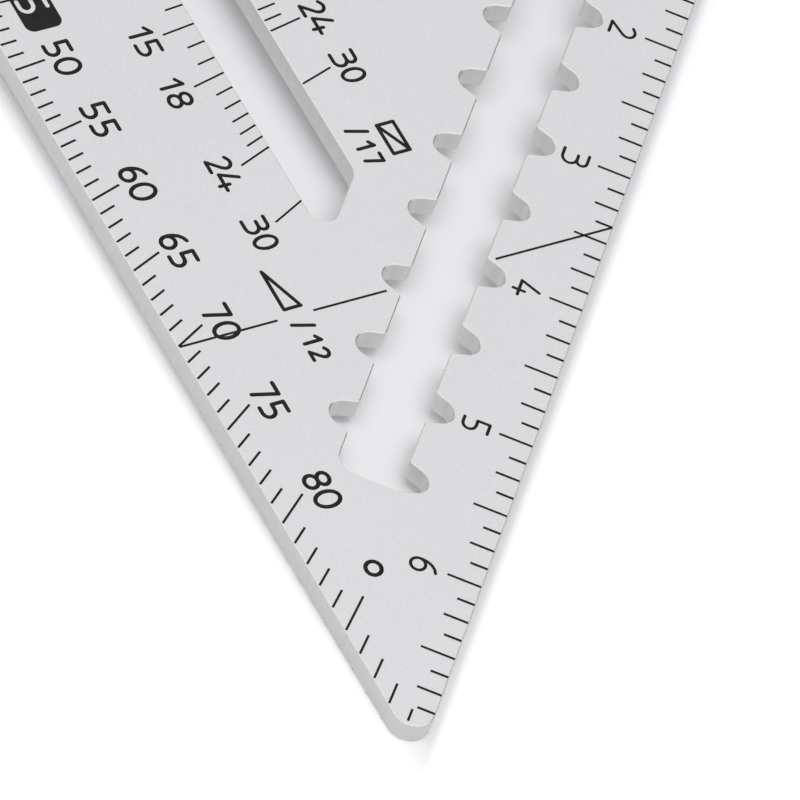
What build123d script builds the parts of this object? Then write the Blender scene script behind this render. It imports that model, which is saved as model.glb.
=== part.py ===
# Rafter square: a flat triangular blade riveted between the two bars of its fence.
#
# Millimetres. The blade lies in the XY plane, its first face up (+Z). The origin is the
# pivot point: the corner where the fence's working faces (y = 0) meet the ruler edge
# (x = 0), at the middle of the blade's thickness. +X runs along the fence and +Y runs
# along the ruler edge to the tip. The slanted edge is the line x + y = leg_length.

import os
from math import ceil, cos, floor, radians, sin, sqrt, tan

from build123d import *

inch = 25.4
diagonal = sqrt(2)

# Blade
blade_thickness = 3.6
leg_length = 182.0  # from the pivot point to where the ruler edge would meet the slanted edge
tip_radius = 3.0  # both sharp ends of the triangle
heel_radius = 2.0  # outer corner under the pivot point
edge_break = 0.15  # small chamfer round both faces of the blade

# Scribing slot, parallel to the ruler edge, with pencil notches down both sides
slot_centre = 19.1  # from the ruler edge
slot_width = 9.0
slot_corner_radius = 2.6
slot_wall = 8.0  # least metal between the slot's corner and the slanted edge
slot_foot = 20.0  # least metal between the slot and the fence
notch_pitch = inch / 2
notch_depth = 3.4
notch_radius = 2.0
notch_flank = 20.0  # degrees, the flare of a notch's sides
mouth_radius = 0.8  # where a notch opens into the slot
end_notch_radius = 3.0  # where the end notches run into the ends of the slot

# Rafter slot, parallel to the slanted edge
rafter_slot_width = 9.6
rafter_slot_inset = 32.9  # from the slanted edge to the slot's centre line
rafter_slot_web = 8.4  # metal between the slot's end and the notches of the scribing slot
rafter_slot_foot = 12.7  # metal between the slot's other end and the fence
rafter_slot_radius = 2.2

# Fence bars, one on each face of the blade
bar_depth = 9.5  # across the bar, from its working face to the outer edge of the blade
bar_height = 6.2  # how far a bar stands from the face of the blade
bar_edge_radius = 0.8

# Rivets through bar, blade and bar
rivet_count = 5
rivet_diameter = 4.0
rivet_head_diameter = 7.0
rivet_head_depth = 1.5
rivet_clearance = 0.05  # all round the rivet
rivet_end_margin = 15.0  # from each end of the fence to the first rivet

# Worked out from the sizes above
half_blade = blade_thickness / 2
slot_left = slot_centre - slot_width / 2
slot_right = slot_centre + slot_width / 2
flank = radians(notch_flank)
tangent_in = notch_depth - notch_radius + notch_radius * sin(flank)
tangent_half = notch_radius * cos(flank)
mouth_half = tangent_half + tangent_in * tan(flank)
slot_reach = leg_length - slot_right - slot_wall * diagonal - mouth_half
first_notch = ceil((slot_foot + mouth_half) / notch_pitch)
last_notch = floor(slot_reach / notch_pitch)
slot_low = first_notch * notch_pitch - mouth_half
slot_high = last_notch * notch_pitch + mouth_half
rafter_slot_end = slot_right + notch_depth + rafter_slot_web
rivet_span = leg_length + bar_depth / 2 - 2 * rivet_end_margin


def notch_points(side, y):
    """The five points of one notch, from low y to high y, on the side at -1 or +1."""
    edge = slot_centre + side * slot_width / 2
    return [
        (edge, y - mouth_half),
        (edge + side * tangent_in, y - tangent_half),
        (edge + side * notch_depth, y),
        (edge + side * tangent_in, y + tangent_half),
        (edge, y + mouth_half),
    ]


def side_edges(side, notch_centres):
    """One long side of the scribing slot: straight stretches between rounded notches."""
    edges = []
    previous = None
    for y in notch_centres:
        low_mouth, low_tangent, end, high_tangent, high_mouth = notch_points(side, y)
        if previous is not None:
            edges.append(Line(previous, low_mouth))
        edges.append(Line(low_mouth, low_tangent))
        edges.append(ThreePointArc(low_tangent, end, high_tangent))
        edges.append(Line(high_tangent, high_mouth))
        previous = high_mouth
    return edges


def vertices_at(shape, points):
    """The corners of a flat shape that lie at the given points."""
    found = []
    for x, y in points:
        found.append(shape.vertices().sort_by_distance(Vector(x, y, 0))[0])
    return found


def scribing_slot():
    """Flat outline of the slot with notches at every pitch, staggered by half a pitch."""
    ruler_side = [notch_pitch * n for n in range(first_notch, last_notch + 1)]
    inner_side = [notch_pitch * (n + 0.5) for n in range(first_notch, last_notch)]
    edges = side_edges(-1, ruler_side) + side_edges(1, inner_side)
    low_corner = (slot_right, slot_low)
    high_corner = (slot_right, slot_high)
    edges.append(Line((slot_left, slot_low), low_corner))
    edges.append(Line(low_corner, (slot_right, inner_side[0] - mouth_half)))
    edges.append(Line((slot_right, inner_side[-1] + mouth_half), high_corner))
    edges.append(Line(high_corner, (slot_left, slot_high)))
    outline = make_face(Curve() + edges)

    steps = (-mouth_half, mouth_half)
    ruler_mouths = [(slot_left, y + step) for y in ruler_side for step in steps]
    inner_mouths = [(slot_right, y + step) for y in inner_side for step in steps]
    end_mouths = [ruler_mouths[0], ruler_mouths[-1]]
    outline = fillet(vertices_at(outline, ruler_mouths[1:-1] + inner_mouths), mouth_radius)
    outline = fillet(vertices_at(outline, [low_corner, high_corner]), slot_corner_radius)
    return fillet(vertices_at(outline, end_mouths), end_notch_radius)


def rafter_slot():
    """Flat outline of the slanted slot; its ends are cut parallel to the two legs."""
    centre_sum = leg_length - rafter_slot_inset * diagonal
    inner_sum = centre_sum - rafter_slot_width / 2 * diagonal
    outer_sum = centre_sum + rafter_slot_width / 2 * diagonal
    outline = make_face(
        Polyline(
            (rafter_slot_end, inner_sum - rafter_slot_end),
            (inner_sum - rafter_slot_foot, rafter_slot_foot),
            (outer_sum - rafter_slot_foot, rafter_slot_foot),
            (rafter_slot_end, outer_sum - rafter_slot_end),
            close=True,
        )
    )
    return fillet(outline.vertices(), rafter_slot_radius)


def square_outline():
    """The triangle that the blade and both bars are cut to, fence included."""
    heel = (0, -bar_depth)
    tip = (0, leg_length)
    far_end = (leg_length + bar_depth, -bar_depth)
    outline = make_face(Polyline(heel, far_end, tip, close=True))
    outline = fillet(vertices_at(outline, [tip, far_end]), tip_radius)
    return fillet(vertices_at(outline, [heel]), heel_radius)


def rivet_centres():
    """Centres of the rivets along the middle of the fence."""
    step = rivet_span / (rivet_count - 1)
    return [(rivet_end_margin + step * n, -bar_depth / 2) for n in range(rivet_count)]


def rivet_shape(clearance=0.0):
    """One rivet with a flush countersunk head at each end, grown by the clearance."""
    length = blade_thickness + 2 * bar_height
    shank = Cylinder(rivet_diameter / 2 + clearance, length)
    head = Cone(
        rivet_diameter / 2 + clearance,
        rivet_head_diameter / 2 + clearance,
        rivet_head_depth,
    )
    head = Pos(0, 0, (length - rivet_head_depth) / 2) * head
    return shank + head + mirror(head, Plane.XY)


def rivet_holes():
    """Every rivet's place with its clearance, to be cut from the bars and the blade."""
    return [Pos(x, y, 0) * rivet_shape(rivet_clearance) for x, y in rivet_centres()]


def make_blade():
    """The plate: outline, both slots, rivet holes and a broken edge round each face."""
    flat = square_outline() - scribing_slot() - rafter_slot()
    plate = Pos(0, 0, -half_blade) * extrude(flat, blade_thickness)
    faces = plate.faces().sort_by(Axis.Z)
    plate = chamfer(faces[0].edges() + faces[-1].edges(), edge_break)
    return plate - rivet_holes()


def make_front_bar():
    """The fence bar on the first face: the part of the outline behind the working face."""
    strip_length = leg_length + bar_depth
    strip = Pos(strip_length / 2, -bar_depth / 2) * Rectangle(strip_length, bar_depth)
    flat = square_outline() & strip
    bar = Pos(0, 0, half_blade) * extrude(flat, bar_height)
    outer_face = bar.faces().sort_by(Axis.Z)[-1]
    long_edges = outer_face.edges().filter_by(Axis.X)
    return fillet(long_edges, bar_edge_radius) - rivet_holes()


def make_rivets():
    """All the rivets, as separate solids of one group."""
    return [Pos(x, y, 0) * rivet_shape() for x, y in rivet_centres()]


front_bar = make_front_bar()
parts = {
    "blade": make_blade(),
    "fence_bar_front": front_bar,
    "fence_bar_back": mirror(front_bar, Plane.XY),
    "fence_rivets": Compound(children=make_rivets()),
}

os.makedirs("parts", exist_ok=True)
for name, shape in parts.items():
    export_step(shape, "parts/" + name + ".step")
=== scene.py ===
from math import atan, cos, pi, radians, sin, sqrt, tan

import bmesh
import bpy
from mathutils import Matrix, Vector


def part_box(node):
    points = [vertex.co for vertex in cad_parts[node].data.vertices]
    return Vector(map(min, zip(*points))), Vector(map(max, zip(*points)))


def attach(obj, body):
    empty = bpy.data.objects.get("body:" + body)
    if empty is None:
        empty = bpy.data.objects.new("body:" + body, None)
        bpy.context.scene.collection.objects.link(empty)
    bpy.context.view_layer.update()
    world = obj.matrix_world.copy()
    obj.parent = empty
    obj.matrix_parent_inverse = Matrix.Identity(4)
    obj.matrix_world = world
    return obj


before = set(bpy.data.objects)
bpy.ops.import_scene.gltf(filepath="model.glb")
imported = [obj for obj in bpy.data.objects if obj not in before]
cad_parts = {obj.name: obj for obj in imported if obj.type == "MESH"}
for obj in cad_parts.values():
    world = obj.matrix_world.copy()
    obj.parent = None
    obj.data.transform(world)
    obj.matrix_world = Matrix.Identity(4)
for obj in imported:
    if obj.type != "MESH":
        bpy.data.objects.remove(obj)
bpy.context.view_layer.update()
print("frame loaded:", ", ".join(sorted(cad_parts)))

inch = 0.0254
rootTwo = sqrt(2)
scene = bpy.context.scene
bladeLow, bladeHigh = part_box("blade")
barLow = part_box("fence_bar_back")[0]


def newMaterial(name):
    material = bpy.data.materials.new(name)
    material.use_nodes = True
    nodes = material.node_tree.nodes
    return material, nodes, material.node_tree.links, nodes["Principled BSDF"]


def addNoise(nodes, links, stretch, detail=2.0, roughness=0.5):
    # noise in object space; stretch is how many features there are in a metre along X, Y and Z
    coords = nodes.new("ShaderNodeTexCoord")
    mapping = nodes.new("ShaderNodeMapping")
    mapping.inputs["Scale"].default_value = stretch
    noise = nodes.new("ShaderNodeTexNoise")
    noise.inputs["Scale"].default_value = 1.0
    noise.inputs["Detail"].default_value = detail
    noise.inputs["Roughness"].default_value = roughness
    links.new(coords.outputs["Object"], mapping.inputs["Vector"])
    links.new(mapping.outputs["Vector"], noise.inputs["Vector"])
    return noise.outputs["Fac"]


def mapRange(nodes, links, value, fromLow, fromHigh, toLow, toHigh):
    node = nodes.new("ShaderNodeMapRange")
    node.inputs["From Min"].default_value = fromLow
    node.inputs["From Max"].default_value = fromHigh
    node.inputs["To Min"].default_value = toLow
    node.inputs["To Max"].default_value = toHigh
    links.new(value, node.inputs["Value"])
    return node.outputs["Result"]


def combine(nodes, links, operation, *values):
    # one math node; each value is a number or a socket
    node = nodes.new("ShaderNodeMath")
    node.operation = operation
    for value, socket in zip(values, node.inputs):
        if isinstance(value, bpy.types.NodeSocket):
            links.new(value, socket)
        else:
            socket.default_value = value
    return node.outputs["Value"]


def multiply(nodes, links, first, second):
    return combine(nodes, links, "MULTIPLY", first, second)


def mixColours(nodes, links, factor, first, second):
    # first and second are a colour or a socket
    node = nodes.new("ShaderNodeMix")
    node.data_type = "RGBA"
    links.new(factor, node.inputs["Factor"])
    for value, socket in ((first, node.inputs["A"]), (second, node.inputs["B"])):
        if isinstance(value, bpy.types.NodeSocket):
            links.new(value, socket)
        else:
            socket.default_value = (*value, 1.0)
    return node.outputs["Result"]


def tint(nodes, links, colour, strength):
    # brightens or darkens a colour socket by a factor near 1
    node = nodes.new("ShaderNodeVectorMath")
    node.operation = "SCALE"
    links.new(colour, node.inputs[0])
    links.new(strength, node.inputs["Scale"])
    return node.outputs["Vector"]


def facing(nodes, links):
    # 1 on the flat faces of the plate, 0 on its walls, from the way each face really points
    geometry = nodes.new("ShaderNodeNewGeometry")
    split = nodes.new("ShaderNodeSeparateXYZ")
    links.new(geometry.outputs["True Normal"], split.inputs["Vector"])
    return combine(nodes, links, "ABSOLUTE", split.outputs["Z"])


def unevenRoughness(nodes, links, pattern, middle, rougher=0.08, smoother=0.08):
    return mapRange(nodes, links, pattern, 0.25, 0.75, middle - smoother, middle + rougher)


def addBump(nodes, links, shader, height, distance, strength):
    bump = nodes.new("ShaderNodeBump")
    bump.inputs["Distance"].default_value = distance
    bump.inputs["Strength"].default_value = strength
    links.new(height, bump.inputs["Height"])
    links.new(bump.outputs["Normal"], shader.inputs["Normal"])


bladeFinish = {
    "face": (0.71, 0.70, 0.715),
    # painted shade: the walls get a darker copy of the face's colour; their cutter streaks below
    # are real
    "wall": (0.67, 0.661, 0.652),
    # painted highlight: the chamfers between face and wall get a lighter colour than the face, for
    # the overhead light they catch
    "paintedEdgeHighlight": (0.8, 0.795, 0.79),
    "roughness": 0.5,
    "edgeRoughness": 0.28,
    "grain": 4200.0,  # blasted grains in a metre
    "cloud": 38.0,
    "streaks": (1500.0, 1500.0, 90.0),  # cutter marks down the walls
    "grainTone": (0.94, 1.06),
    "cloudTone": (0.992, 1.008),
    "streakTone": (0.97, 1.03),
}


def makeBladeAluminium(look):
    material, nodes, links, shader = newMaterial("blastedAluminium")
    shader.inputs["Metallic"].default_value = 1.0
    grain = addNoise(nodes, links, (look["grain"],) * 3, 2.0, 0.55)
    cloud = addNoise(nodes, links, (look["cloud"],) * 3, 3.0, 0.5)
    streaks = addNoise(nodes, links, look["streaks"], 2.0, 0.6)
    upright = facing(nodes, links)
    onFace = mapRange(nodes, links, upright, 0.85, 0.95, 0.0, 1.0)
    onWall = mapRange(nodes, links, upright, 0.3, 0.5, 1.0, 0.0)
    # where the plate turns from face to wall the colour is lighter, a painted highlight on the
    # chamfers
    colour = mixColours(nodes, links, onFace, look["paintedEdgeHighlight"], look["face"])
    # the upright walls get the darker colour, painted shade on them
    colour = mixColours(nodes, links, onWall, colour, look["wall"])
    grainTone = mapRange(nodes, links, grain, 0.25, 0.75, *look["grainTone"])
    cloudTone = mapRange(nodes, links, cloud, 0.3, 0.7, *look["cloudTone"])
    streakTone = mapRange(nodes, links, streaks, 0.25, 0.75, *look["streakTone"])
    toned = tint(nodes, links, colour, multiply(nodes, links, grainTone, cloudTone))
    walls = tint(nodes, links, colour, streakTone)
    links.new(mixColours(nodes, links, onWall, toned, walls), shader.inputs["Base Color"])
    matt = unevenRoughness(nodes, links, grain, look["roughness"], 0.05, 0.05)
    onEdge = mapRange(nodes, links, upright, 0.55, 0.65, 0.0, 1.0)
    onEdge = multiply(nodes, links, onEdge, mapRange(nodes, links, upright, 0.8, 0.9, 1.0, 0.0))
    worn = mapRange(nodes, links, onEdge, 0.0, 1.0, 1.0, look["edgeRoughness"] / look["roughness"])
    links.new(multiply(nodes, links, matt, worn), shader.inputs["Roughness"])
    addBump(nodes, links, shader, grain, 0.00002, 0.2)
    return material


fenceFinish = {
    "metal": (0.67, 0.665, 0.68),
    "pale": (0.71, 0.705, 0.72),
    "roughness": 0.42,
    "lines": (12.0, 2600.0, 2600.0),  # drawn along X
    "cloud": (30.0, 60.0, 60.0),
    "lineTone": (0.89, 1.06),
    "cloudTone": (0.98, 1.02),
}


def makeFenceAluminium(look):
    material, nodes, links, shader = newMaterial("drawnAluminium")
    shader.inputs["Metallic"].default_value = 1.0
    lines = addNoise(nodes, links, look["lines"], 3.0, 0.6)
    cloud = addNoise(nodes, links, look["cloud"], 3.0, 0.5)
    lineTone = mapRange(nodes, links, lines, 0.25, 0.75, *look["lineTone"])
    cloudTone = mapRange(nodes, links, cloud, 0.3, 0.7, *look["cloudTone"])
    tone = multiply(nodes, links, lineTone, cloudTone)
    colour = mixColours(nodes, links, cloud, look["metal"], look["pale"])
    links.new(tint(nodes, links, colour, tone), shader.inputs["Base Color"])
    links.new(unevenRoughness(nodes, links, lines, look["roughness"]), shader.inputs["Roughness"])
    addBump(nodes, links, shader, lines, 0.00002, 0.25)
    return material


rivetFinish = {
    "metal": (0.6, 0.6, 0.62),
    "shade": 0.96,  # of the metal, between the grains
    "roughness": 0.36,
    "grain": 2400.0,
    "cloud": 420.0,
    "cloudTone": (0.92, 1.05),
}


def makeRivetAluminium(look):
    material, nodes, links, shader = newMaterial("rivetAluminium")
    shader.inputs["Metallic"].default_value = 1.0
    grain = addNoise(nodes, links, (look["grain"],) * 3, 3.0, 0.6)
    cloud = addNoise(nodes, links, (look["cloud"],) * 3, 2.0, 0.5)
    tone = mapRange(nodes, links, cloud, 0.3, 0.7, *look["cloudTone"])
    shade = tuple(c * look["shade"] for c in look["metal"])
    colour = mixColours(nodes, links, grain, shade, look["metal"])
    links.new(tint(nodes, links, colour, tone), shader.inputs["Base Color"])
    roughness = unevenRoughness(nodes, links, grain, look["roughness"], 0.1)
    links.new(roughness, shader.inputs["Roughness"])
    addBump(nodes, links, shader, grain, 0.00003, 0.3)
    return material


inkFinish = {
    "ink": (0.0098, 0.0088, 0.0096),
    "thin": (0.0158, 0.0146, 0.0155),
    "specular": 0.15,
    "roughness": 0.55,
    "grain": 5200.0,
    "patches": 900.0,
}


def makeInk(look):
    material, nodes, links, shader = newMaterial("printedInk")
    shader.inputs["Specular IOR Level"].default_value = look["specular"]
    grain = addNoise(nodes, links, (look["grain"],) * 3, 2.0, 0.5)
    patches = addNoise(nodes, links, (look["patches"],) * 3, 2.0, 0.5)
    amount = mapRange(nodes, links, patches, 0.35, 0.7, 0.0, 1.0)
    colour = mixColours(nodes, links, amount, look["ink"], look["thin"])
    links.new(colour, shader.inputs["Base Color"])
    links.new(unevenRoughness(nodes, links, grain, look["roughness"]), shader.inputs["Roughness"])
    addBump(nodes, links, shader, grain, 0.00001, 0.3)
    return material


bladeAluminium = makeBladeAluminium(bladeFinish)
fenceAluminium = makeFenceAluminium(fenceFinish)
rivetAluminium = makeRivetAluminium(rivetFinish)
printedInk = makeInk(inkFinish)


def dress(node, material):
    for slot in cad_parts[node].material_slots:
        slot.material = material


dress("blade", bladeAluminium)
dress("fence_bar_front", fenceAluminium)
dress("fence_bar_back", fenceAluminium)
dress("fence_rivets", rivetAluminium)
print("finishes on the frame")


# The ink is drawn in inches on the plate: x from the ruler edge, y from the fence
def slanted(along, out):
    # a point from its distance along the slanted edge, from the middle, and out from the pivot
    return Vector(((out - along) / rootTwo, (out + along) / rootTwo))


def arcPoints(centre, radii, start, end, steps=9):
    # points on part of an ellipse, from the start angle to the end angle in degrees
    points = []
    for step in range(steps + 1):
        turn = radians(start + (end - start) * step / steps)
        points.append((centre[0] + radii[0] * cos(turn), centre[1] + radii[1] * sin(turn)))
    return points


def ring(centre, radii, steps=22):
    return arcPoints(centre, radii, 0, 360 - 360 / steps, steps - 1)


# Centre lines of each figure in a box one unit high: a list of (points, closed) strokes
figures = {
    "0": [(ring((0.325, 0.5), (0.325, 0.5)), True)],
    "1": [([(0.29, 1.0), (0.29, 0.0)], False), ([(0.0, 0.77), (0.29, 1.0)], False)],
    "2": [
        (
            [(0.0, 0.87)]
            + arcPoints((0.265, 0.735), (0.265, 0.265), 120, -20)
            + [(0.45, 0.53), (0.0, 0.0)],
            False,
        ),
        ([(0.0, 0.0), (0.55, 0.0)], False),
    ],
    "3": [
        (
            [(0.0, 1.0)] + arcPoints((0.395, 0.795), (0.205, 0.205), 90, -90) + [(0.15, 0.59)],
            False,
        ),
        (arcPoints((0.365, 0.295), (0.295, 0.295), 90, -90) + [(0.0, 0.0)], False),
    ],
    "4": [
        ([(0.33, 1.0), (0.0, 0.235)], False),
        ([(0.0, 0.235), (0.8, 0.235)], False),
        ([(0.53, 0.46), (0.53, 0.0)], False),
    ],
    "5": [
        ([(0.45, 1.0), (0.0, 1.0)], False),
        ([(0.0, 1.0), (0.0, 0.516)], False),
        (
            [(0.0, 0.516)] + arcPoints((0.242, 0.258), (0.258, 0.258), 90, -90) + [(0.0, 0.0)],
            False,
        ),
    ],
    "6": [
        (
            [(0.41, 1.0), (0.26, 0.93), (0.13, 0.8), (0.04, 0.62), (0.0, 0.44), (0.0, 0.285)],
            False,
        ),
        (ring((0.2735, 0.285), (0.2735, 0.285)), True),
    ],
    "7": [([(0.0, 1.0), (0.523, 1.0)], False), ([(0.523, 1.0), (0.25, 0.0)], False)],
    "8": [
        (ring((0.3, 0.765), (0.285, 0.235)), True),
        (ring((0.3, 0.265), (0.3, 0.265)), True),
    ],
    "/": [([(0.0, -0.08), (0.36, 1.08)], False)],
}
figures["9"] = [
    ([(0.547 - x, 1.0 - y) for x, y in points], closed) for points, closed in figures["6"]
]


def writeNumber(text, foot, right, up, look):
    # strokes of a number whose figures stand on the foot point, centred there
    strokes = []
    tall = look["height"] - look["stroke"]
    for place, figure in enumerate(text):
        shapes = figures[figure]
        left = min(x for points, closed in shapes for x, y in points)
        wide = max(x for points, closed in shapes for x, y in points) - left
        stretch = look["widths"].get(figure, wide * tall) / wide
        start = (place - (len(text) - 1) / 2) * look["advance"] - wide * stretch / 2
        for points, closed in shapes:
            line = []
            for x, y in points:
                across = start + (x - left) * stretch
                line.append(foot + right * across + up * (look["stroke"] / 2 + y * tall))
            strokes.append((line, closed))
    return strokes


def drawStrokes(curve, strokes, width):
    # each stroke becomes a spline with round ends, because its radius falls to nothing there
    for points, closed in strokes:
        line = [(Vector(p) * inch, 1.0) for p in points]
        if not closed:
            for end, neighbour in ((0, 1), (-1, -2)):
                tip = line[end][0]
                outward = (tip - line[neighbour][0]).normalized() * width * inch / 2
                caps = [(tip + outward * sin(radians(t)), cos(radians(t))) for t in (28, 54, 80)]
                line = caps[::-1] + line if end == 0 else line + caps
        spline = curve.splines.new("POLY")
        spline.points.add(len(line) - 1)
        for point, (place, radius) in zip(spline.points, line):
            point.co = (place.x, place.y, 0.0, 1.0)
            point.radius = radius
        spline.use_cyclic_u = closed


def hold(name, data):
    # a helper object that is removed again once its mesh is taken
    holder = bpy.data.objects.new(name, data)
    scene.collection.objects.link(holder)
    return holder


def takeMesh(holder, *others):
    bpy.context.view_layer.update()
    evaluated = holder.evaluated_get(bpy.context.evaluated_depsgraph_get())
    mesh = bpy.data.meshes.new_from_object(evaluated)
    for used in (holder, *others):
        bpy.data.objects.remove(used)
    return mesh


inkFilm = {"thickness": 0.00004, "weld": 1e-7}  # half of the film lies in the metal's surface


def strokeMesh(strokes, width, thickness):
    # the strokes as a bmesh, flattened to a film of the given thickness about z = 0
    curve = bpy.data.curves.new("strokes", "CURVE")
    curve.dimensions = "3D"
    curve.bevel_depth = width * inch / 2
    curve.bevel_resolution = 0
    curve.use_fill_caps = True
    curve.twist_mode = "Z_UP"
    drawStrokes(curve, strokes, width)
    mesh = takeMesh(hold("strokeHolder", curve))
    film = bmesh.new()
    film.from_mesh(mesh)
    bpy.data.meshes.remove(mesh)
    bpy.data.curves.remove(curve)
    bmesh.ops.scale(film, vec=(1, 1, thickness / (width * inch)), verts=film.verts)
    return film


def addTick(film, start, end, width):
    # one straight line of the film, square at its ends
    start, end = Vector(start) * inch, Vector(end) * inch
    run = end - start
    middle = Matrix.Translation(((start + end) / 2).to_3d())
    turn = run.to_3d().angle(Vector((1, 0, 0))) * (1 if run.y >= 0 else -1)
    turned = Matrix.Rotation(turn, 4, "Z")
    sized = Matrix.Diagonal((run.length, width * inch, inkFilm["thickness"], 1))
    bmesh.ops.create_cube(film, size=1.0, matrix=middle @ turned @ sized)


def finishInk(film, name, side):
    # lifts the film to the face on that side and makes it a piece
    level = bladeHigh.z if side > 0 else bladeLow.z
    bmesh.ops.remove_doubles(film, verts=film.verts, dist=inkFilm["weld"])
    bmesh.ops.recalc_face_normals(film, faces=film.faces)
    bmesh.ops.translate(film, vec=(0, 0, level), verts=film.verts)
    mesh = bpy.data.meshes.new(name)
    film.to_mesh(mesh)
    film.free()
    mesh.materials.append(printedInk)
    piece = bpy.data.objects.new(name, mesh)
    scene.collection.objects.link(piece)
    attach(piece, "root")
    print("made", name, "with", len(mesh.polygons), "faces")


sideNames = {1: "front", -1: "back"}


# Inch scale along the ruler edge
rulerMarks = {
    "lastEighth": 55,
    "start": 0.0045,
    "ends": {"eighth": 0.101, "quarter": 0.139, "half": 0.191},
    "widths": {"eighth": 0.0145, "quarter": 0.014, "half": 0.0135},
    "numberFoot": 0.4,
    "numberShift": 0.008,
    "figures": {
        "height": 0.160,
        "stroke": 0.018,
        "advance": 0.12,
        "widths": {"4": 0.103, "1": 0.04},
    },
}


def makeRulerMarks(look, side):
    right, up = Vector((0, side)), Vector((-1, 0))
    strokes = []
    for number in range(1, look["lastEighth"] // 8 + 1):
        foot = Vector((look["numberFoot"], number + look["numberShift"] * side))
        strokes += writeNumber(str(number), foot, right, up, look["figures"])
    film = strokeMesh(strokes, look["figures"]["stroke"], inkFilm["thickness"])
    for eighth in range(1, look["lastEighth"] + 1):
        kind = "half" if eighth % 4 == 0 else "quarter" if eighth % 2 == 0 else "eighth"
        start, end = (look["start"], eighth / 8), (look["ends"][kind], eighth / 8)
        addTick(film, start, end, look["widths"][kind])
    finishInk(film, "ruler_marks_" + sideNames[side], side)


# Degree scale along the slanted edge; its lines point at the pivot
degreeMarks = {
    "outer": 5.062,
    "lastOuter": 5.02,  # the last line, beside the rounded tip, is cut short
    "last": 89,
    "inner": {"one": 4.9625, "five": 4.8735},
    "width": 0.0132,
    "numberFoot": 4.852,
    "numberShift": 0.013,
    "numbers": [n for n in range(5, 85, 5) if n != 45],  # the badge holds the 45
    "nudges": {  # how far single numbers lie from that rule, along the edge and out
        50: (0.0, 0.0028),
        55: (0.009, 0.0004),
        60: (0.0054, 0.0),
        65: (0.0058, -0.0034),
        70: (-0.0017, -0.0043),
        75: (-0.0022, -0.0068),
        80: (-0.0041, -0.0091),
    },
    "figures": {
        "height": 0.166,
        "stroke": 0.024,
        "advance": 0.124,
        "widths": {"5": 0.071, "0": 0.095, "6": 0.078, "7": 0.075, "8": 0.080},
    },
    "ringOut": 4.737,
    "ringAlong": 3.95,
    "ringRadius": 0.043,
}


def rayPoint(degree, out):
    return slanted(out * tan(radians(degree - 45)), out)


def slantedWriting(side):
    # the directions in which numbers run and stand on the slanted scales
    return Vector((-1, 1)) / rootTwo * side, Vector((-1, -1)) / rootTwo


def makeDegreeMarks(look, side):
    right, up = slantedWriting(side)
    strokes = []
    for degree in look["numbers"]:
        aside, out = look["nudges"].get(degree, (0.0, 0.0))
        along = look["inner"]["five"] * tan(radians(degree - 45))
        foot = slanted(along + (look["numberShift"] + aside) * side, look["numberFoot"] + out)
        strokes += writeNumber(str(degree), foot, right, up, look["figures"])
    centre = slanted(look["ringAlong"], look["ringOut"])
    strokes.append((ring(centre, (look["ringRadius"],) * 2), True))
    film = strokeMesh(strokes, look["figures"]["stroke"], inkFilm["thickness"])
    for degree in range(1, look["last"] + 1):
        inner = look["inner"]["five" if degree % 5 == 0 else "one"]
        outer = look["lastOuter" if degree == look["last"] else "outer"]
        addTick(film, rayPoint(degree, inner), rayPoint(degree, outer), look["width"])
    finishInk(film, "degree_marks_" + sideNames[side], side)


# Rafter scales on both sides of the slanted slot, numbered by the rise in inches for each run
rises = {
    "long": [1, 2, 3, 4, 5, 6, 7, 8, 9, 10, 12, 15, 18, 24, 30],
    "short": [11, 13, 14, 16, 17, 19, 20, 21, 22, 23],
}

rafterFigures = {
    "height": 0.154,
    "stroke": 0.022,
    "advance": 0.116,
    "widths": {"1": 0.040, "2": 0.072, "3": 0.088, "4": 0.109, "5": 0.076, "8": 0.079, "0": 0.078},
}

rafterMarks = {
    "run": 12,
    "edge": 3.965,
    "short": 4.078,
    "long": 4.170,
    "width": 0.0117,
    "numberFoot": 4.3625,
    "numberShift": -0.01,
    "nudges": {15: 0.0008, 18: -0.0097, 24: -0.0059, 30: 0.0128},
    "pictogramFoot": 4.414,
    "pictogramAlong": 2.39,
}

hipMarks = {
    "run": 12 * rootTwo,
    "edge": 3.577,
    "short": 3.464,
    "long": 3.375,
    "width": 0.012,
    "numberFoot": 3.351,
    "numberShift": 0.018,
    "nudges": {24: 0.0027, 30: 0.007},
    "pictogramFeet": (3.331, 3.509),
    "pictogramAlong": 1.47,
}

pictogram = {
    "height": 0.125,
    "stroke": 0.023,
    "advance": 0.098,
    "triangle": (-0.33, -0.07),  # its two ends, to the left of the foot point
    "run": 0.15,  # from there to the run's number
    "square": 0.1,  # half its width
}


def risePoint(rise, run, out):
    return slanted(out * tan(atan(rise / run) - pi / 4), out)


def outlineStrokes(corners, foot, right, up):
    # straight sides between the corners, in inches from the foot point
    places = [foot + right * x + up * y for x, y in corners]
    return [([places[n - 1], places[n]], False) for n in range(len(places))]


def pictogramNumber(text, foot, right, up):
    return writeNumber(text, foot, right, up, {**pictogram, "widths": {}})


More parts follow.
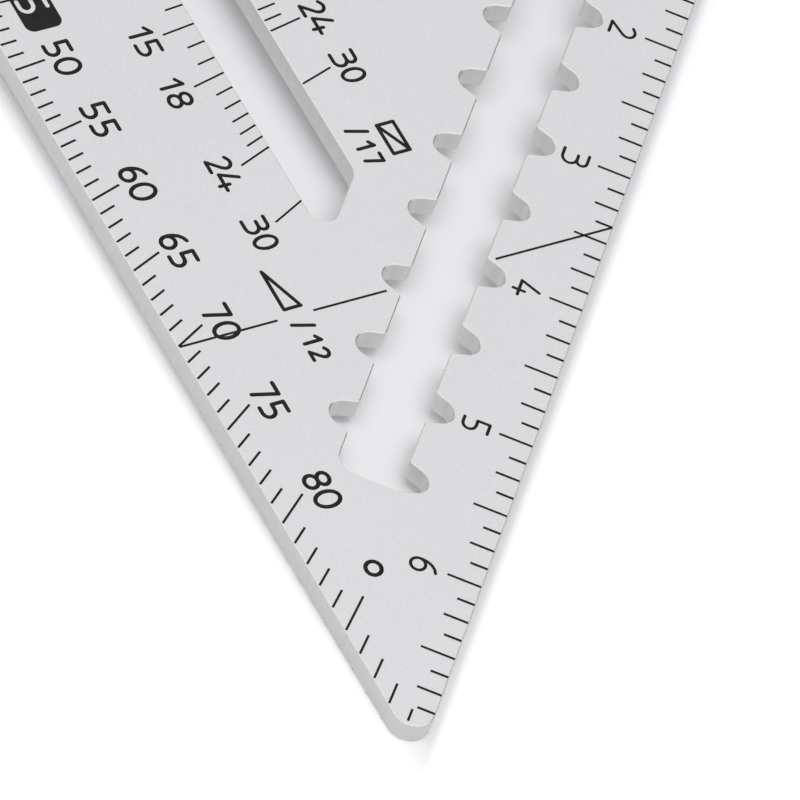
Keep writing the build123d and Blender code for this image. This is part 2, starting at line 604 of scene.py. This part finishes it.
def makeRafterMarks(look, name, side):
    right, up = slantedWriting(side)
    middle = look["long"]
    if look["long"] > look["edge"]:
        middle = (look["long"] + look["numberFoot"]) / 2
    strokes = []
    for rise in rises["long"]:
        aside = look["numberShift"] + look["nudges"].get(rise, 0.0)
        along = middle * tan(atan(rise / look["run"]) - pi / 4) + aside * side
        foot = slanted(along, look["numberFoot"])
        strokes += writeNumber(str(rise), foot, right, up, rafterFigures)
    low, high = pictogram["stroke"] / 2, pictogram["height"] - pictogram["stroke"] / 2
    if name == "rafter":
        # a right triangle for the pitch, then its run
        foot = slanted(look["pictogramAlong"], look["pictogramFoot"])
        point, upright = pictogram["triangle"]
        strokes += outlineStrokes([(point, low), (upright, low), (upright, high)], foot, right, up)
        strokes += pictogramNumber("/12", foot + right * pictogram["run"], right, up)
    else:
        # a square with its diagonal, over the run along that diagonal
        foot = slanted(look["pictogramAlong"], look["pictogramFeet"][0])
        half = pictogram["square"]
        corners = [(-half, low), (half, low), (half, high), (-half, high)]
        strokes += outlineStrokes(corners, foot, right, up)
        strokes += outlineStrokes([corners[0], corners[2]], foot, right, up)[:1]
        foot = slanted(look["pictogramAlong"], look["pictogramFeet"][1])
        strokes += pictogramNumber("/17", foot, right, up)
    film = strokeMesh(strokes, rafterFigures["stroke"], inkFilm["thickness"])
    for length in ("long", "short"):
        for rise in rises[length]:
            start = risePoint(rise, look["run"], look["edge"])
            end = risePoint(rise, look["run"], look[length])
            addTick(film, start, end, look["width"])
    finishInk(film, name + "_marks_" + sideNames[side], side)


# The 45 in its dark badge; its figures are bare metal
badge = {
    "half": 0.238,
    "out": (4.656, 4.877),
    "corner": 0.05,
    "foot": 4.858,
    "cutDepth": 0.002,
    "figures": {
        "height": 0.180,
        "stroke": 0.025,
        "advance": 0.126,
        "widths": {"4": 0.095, "5": 0.08},
    },
}


def makeBadge(look, side):
    right, up = slantedWriting(side)
    film = bmesh.new()
    bmesh.ops.create_grid(film, x_segments=1, y_segments=1, size=0.5)
    tall = look["out"][1] - look["out"][0]
    bmesh.ops.scale(film, vec=(look["half"] * 2 * inch, tall * inch, 1), verts=film.verts)
    bmesh.ops.bevel(
        film,
        geom=film.verts[:],
        offset=look["corner"] * inch,
        offset_type="OFFSET",
        segments=6,
        profile=0.5,
        affect="VERTICES",
        material=-1,
    )
    sheet = bmesh.ops.extrude_face_region(film, geom=film.faces[:])["geom"]
    raised = [v for v in sheet if isinstance(v, bmesh.types.BMVert)]
    bmesh.ops.translate(film, vec=(0, 0, inkFilm["thickness"]), verts=raised)
    bmesh.ops.translate(film, vec=(0, 0, -inkFilm["thickness"] / 2), verts=film.verts)
    bmesh.ops.rotate(film, matrix=Matrix.Rotation(radians(-45), 3, "Z"), verts=film.verts)
    centre = slanted(0, sum(look["out"]) / 2) * inch
    bmesh.ops.translate(film, vec=centre.to_3d(), verts=film.verts)

    strokes = writeNumber("45", slanted(0, look["foot"]), right, up, look["figures"])
    cutter = strokeMesh(strokes, look["figures"]["stroke"], look["cutDepth"])
    holders = []
    for shape, label in ((film, "badgeSheet"), (cutter, "badgeCutter")):
        bmesh.ops.recalc_face_normals(shape, faces=shape.faces)
        mesh = bpy.data.meshes.new(label)
        shape.to_mesh(mesh)
        shape.free()
        holders.append(hold(label, mesh))
    cut = holders[0].modifiers.new("figures", "BOOLEAN")
    cut.operation = "DIFFERENCE"
    cut.solver = "EXACT"
    cut.use_self = True  # the cutter's strokes cross each other
    cut.object = holders[1]
    mesh = takeMesh(*holders)
    film = bmesh.new()
    film.from_mesh(mesh)
    bpy.data.meshes.remove(mesh)
    finishInk(film, "badge_" + sideNames[side], side)


# The line that crosses the plate at 45 degrees to the ruler edge, broken where the slot and
# the pictogram are
crossLine = {
    "width": 0.0132,
    "runs": [
        ((0.005, 3.376), (0.53, 3.886)),
        ((1.008, 4.371), (1.329, 4.683)),
        ((1.483, 4.8375), (1.905, 5.25)),
    ],
}


def makeCrossLine(look, side):
    film = bmesh.new()
    for start, end in look["runs"]:
        addTick(film, start, end, look["width"])
    finishInk(film, "cross_line_" + sideNames[side], side)


for side in (1, -1):
    makeRulerMarks(rulerMarks, side)
    makeDegreeMarks(degreeMarks, side)
    makeBadge(badge, side)
makeRafterMarks(rafterMarks, "rafter", 1)
makeRafterMarks(hipMarks, "hip", 1)
makeCrossLine(crossLine, 1)


# Floor, light and camera
stage = {
    "size": 12.0,
    "gap": 0.00003,  # between the fence and the floor
    "floor": (0.8, 0.8, 0.818),
    # the glow is painted light that changes by place: strong on the open floor, where it also
    # paints over most of the plate's shadow, and weak under the plate, so the floor there is
    # painted darker on top of the real shade in the slots
    "glow": 0.34,  # for the camera only, so that the open floor is white
    "glowUnder": 0.09,  # the same under the plate, low enough to keep the shade in the slots
    "glowSteps": {  # where it changes, in from each edge
        # on the ruler side the glow changes 0.8 to 2.2 mm outside the edge, so a strip of weaker
        # glow paints a shaded band along the ruler edge over its real shadow
        "ruler": (-0.0022, -0.0008),
        "fence": (0.002, 0.008),
        "slant": (0.002, 0.008),
    },
    "glowMirrored": 0.17,  # what reflections see of it
    "world": 0.51,
    "worldMirrored": 0.97,  # what the metal reflects of it
    "flag": 0.25,  # a dark card beside the ruler edge draws a thin dark line along the far edges
    "flagPlace": (-0.77, -0.64, 0.05),
    "flagEdge": (0.8, 0.95),
    "lamps": {  # radiance, size, place, and whether the metal reflects the box
        "overhead": (0.42, 2.2, (-0.1, 0.36, 1.7), True),
        "key": (2.45, 0.95, (-0.28, 0.28, 1.7), False),
        "fill": (2.0, 0.7, (0.5, 0.45, 1.6), False),
    },
    "lampAim": (0.05, 0.08, 0.0),
}


def makeFloor(look):
    # the square lies on its tip and its lower fence bar, so the floor leans a little in its frame
    lean = atan((bladeLow.z - barLow.z) / bladeHigh.y)
    floor = bmesh.new()
    bmesh.ops.create_grid(floor, x_segments=1, y_segments=1, size=look["size"] / 2)
    bmesh.ops.rotate(floor, matrix=Matrix.Rotation(lean, 3, "X"), verts=floor.verts)
    bmesh.ops.translate(floor, vec=(0, 0, barLow.z - look["gap"]), verts=floor.verts)
    mesh = bpy.data.meshes.new("floor")
    floor.to_mesh(mesh)
    floor.free()
    material, nodes, links, shader = newMaterial("paleFloor")
    shader.inputs["Base Color"].default_value = (*look["floor"], 1.0)
    shader.inputs["Roughness"].default_value = 1.0
    shader.inputs["Specular IOR Level"].default_value = 0.0
    shader.inputs["Emission Color"].default_value = (1.0, 1.0, 1.0, 1.0)
    coords = nodes.new("ShaderNodeTexCoord")
    split = nodes.new("ShaderNodeSeparateXYZ")
    links.new(coords.outputs["Object"], split.inputs["Vector"])
    across = nodes.new("ShaderNodeVectorMath")
    across.operation = "DOT_PRODUCT"
    across.inputs[1].default_value = (-1 / rootTwo, -1 / rootTwo, 0.0)
    links.new(coords.outputs["Object"], across.inputs[0])
    slant = -bladeHigh.x / rootTwo
    steps = look["glowSteps"]
    slantSteps = [slant + step for step in steps["slant"]]
    inRuler = mapRange(nodes, links, split.outputs["X"], *steps["ruler"], 0.0, 1.0)
    inFence = mapRange(nodes, links, split.outputs["Y"], *steps["fence"], 0.0, 1.0)
    inSlant = mapRange(nodes, links, across.outputs["Value"], *slantSteps, 0.0, 1.0)
    # weaker glow under the plate and in a strip beside the ruler edge: painted shade on the floor
    under = multiply(nodes, links, multiply(nodes, links, inRuler, inFence), inSlant)
    amount = mapRange(nodes, links, under, 0.0, 1.0, look["glow"], look["glowUnder"])
    path = nodes.new("ShaderNodeLightPath")
    glossy, clear = path.outputs["Is Glossy Ray"], path.outputs["Is Transmission Ray"]
    mirrored = combine(nodes, links, "MAXIMUM", glossy, clear)
    inMirror = multiply(nodes, links, mirrored, look["glowMirrored"])
    glow = combine(nodes, links, "MULTIPLY_ADD", path.outputs["Is Camera Ray"], amount, inMirror)
    links.new(glow, shader.inputs["Emission Strength"])
    mesh.materials.append(material)
    piece = bpy.data.objects.new("floor", mesh)
    scene.collection.objects.link(piece)


def makeLight(look):
    world = bpy.data.worlds.new("softRoom")
    world.use_nodes = True
    scene.world = world
    nodes, links = world.node_tree.nodes, world.node_tree.links
    background = nodes["Background"]
    background.inputs["Color"].default_value = (1.0, 1.0, 1.0, 1.0)
    coords = nodes.new("ShaderNodeTexCoord")
    toFlag = nodes.new("ShaderNodeVectorMath")
    toFlag.operation = "DOT_PRODUCT"
    toFlag.inputs[1].default_value = Vector(look["flagPlace"]).normalized()
    links.new(coords.outputs["Generated"], toFlag.inputs[0])
    path = nodes.new("ShaderNodeLightPath")
    levels = look["world"], look["worldMirrored"]
    level = mapRange(nodes, links, path.outputs["Is Glossy Ray"], 0.0, 1.0, *levels)
    shaded = mapRange(nodes, links, toFlag.outputs["Value"], *look["flagEdge"], 1.0, look["flag"])
    soft = multiply(nodes, links, level, shaded)
    seen = combine(nodes, links, "MAXIMUM", path.outputs["Is Camera Ray"], soft)  # plain white
    links.new(seen, background.inputs["Strength"])
    for name, (radiance, size, place, mirrored) in look["lamps"].items():
        lamp = bpy.data.lights.new(name, "AREA")
        lamp.shape = "SQUARE"
        lamp.size = size
        lamp.energy = radiance * pi * size ** 2
        holder = bpy.data.objects.new(name, lamp)
        holder.location = place
        towards = Vector(look["lampAim"]) - Vector(place)
        holder.rotation_euler = towards.to_track_quat("-Z", "Y").to_euler()
        holder.visible_camera = False
        holder.visible_glossy = mirrored
        scene.collection.objects.link(holder)


cameraSetup = {
    "place": (0.032617, 0.781141, 0.785205),
    "aim": (0.018722, 0.1279092, 0.001823),
    "roll": 22.4825,
    "lens": 346.8,
    "sensor": 36.0,
}


def makeCamera(look):
    data = bpy.data.cameras.new("camera")
    data.lens = look["lens"]
    data.sensor_width = look["sensor"]
    camera = bpy.data.objects.new("camera", data)
    towards = Vector(look["aim"]) - Vector(look["place"])
    level = towards.to_track_quat("-Z", "Y").to_matrix()
    turn = level @ Matrix.Rotation(radians(look["roll"]), 3, "Z")
    camera.matrix_world = Matrix.Translation(look["place"]) @ turn.to_4x4()
    scene.collection.objects.link(camera)
    scene.camera = camera


makeFloor(stage)
makeLight(stage)
makeCamera(cameraSetup)
scene.view_settings.view_transform = "Standard"
print("stage set")
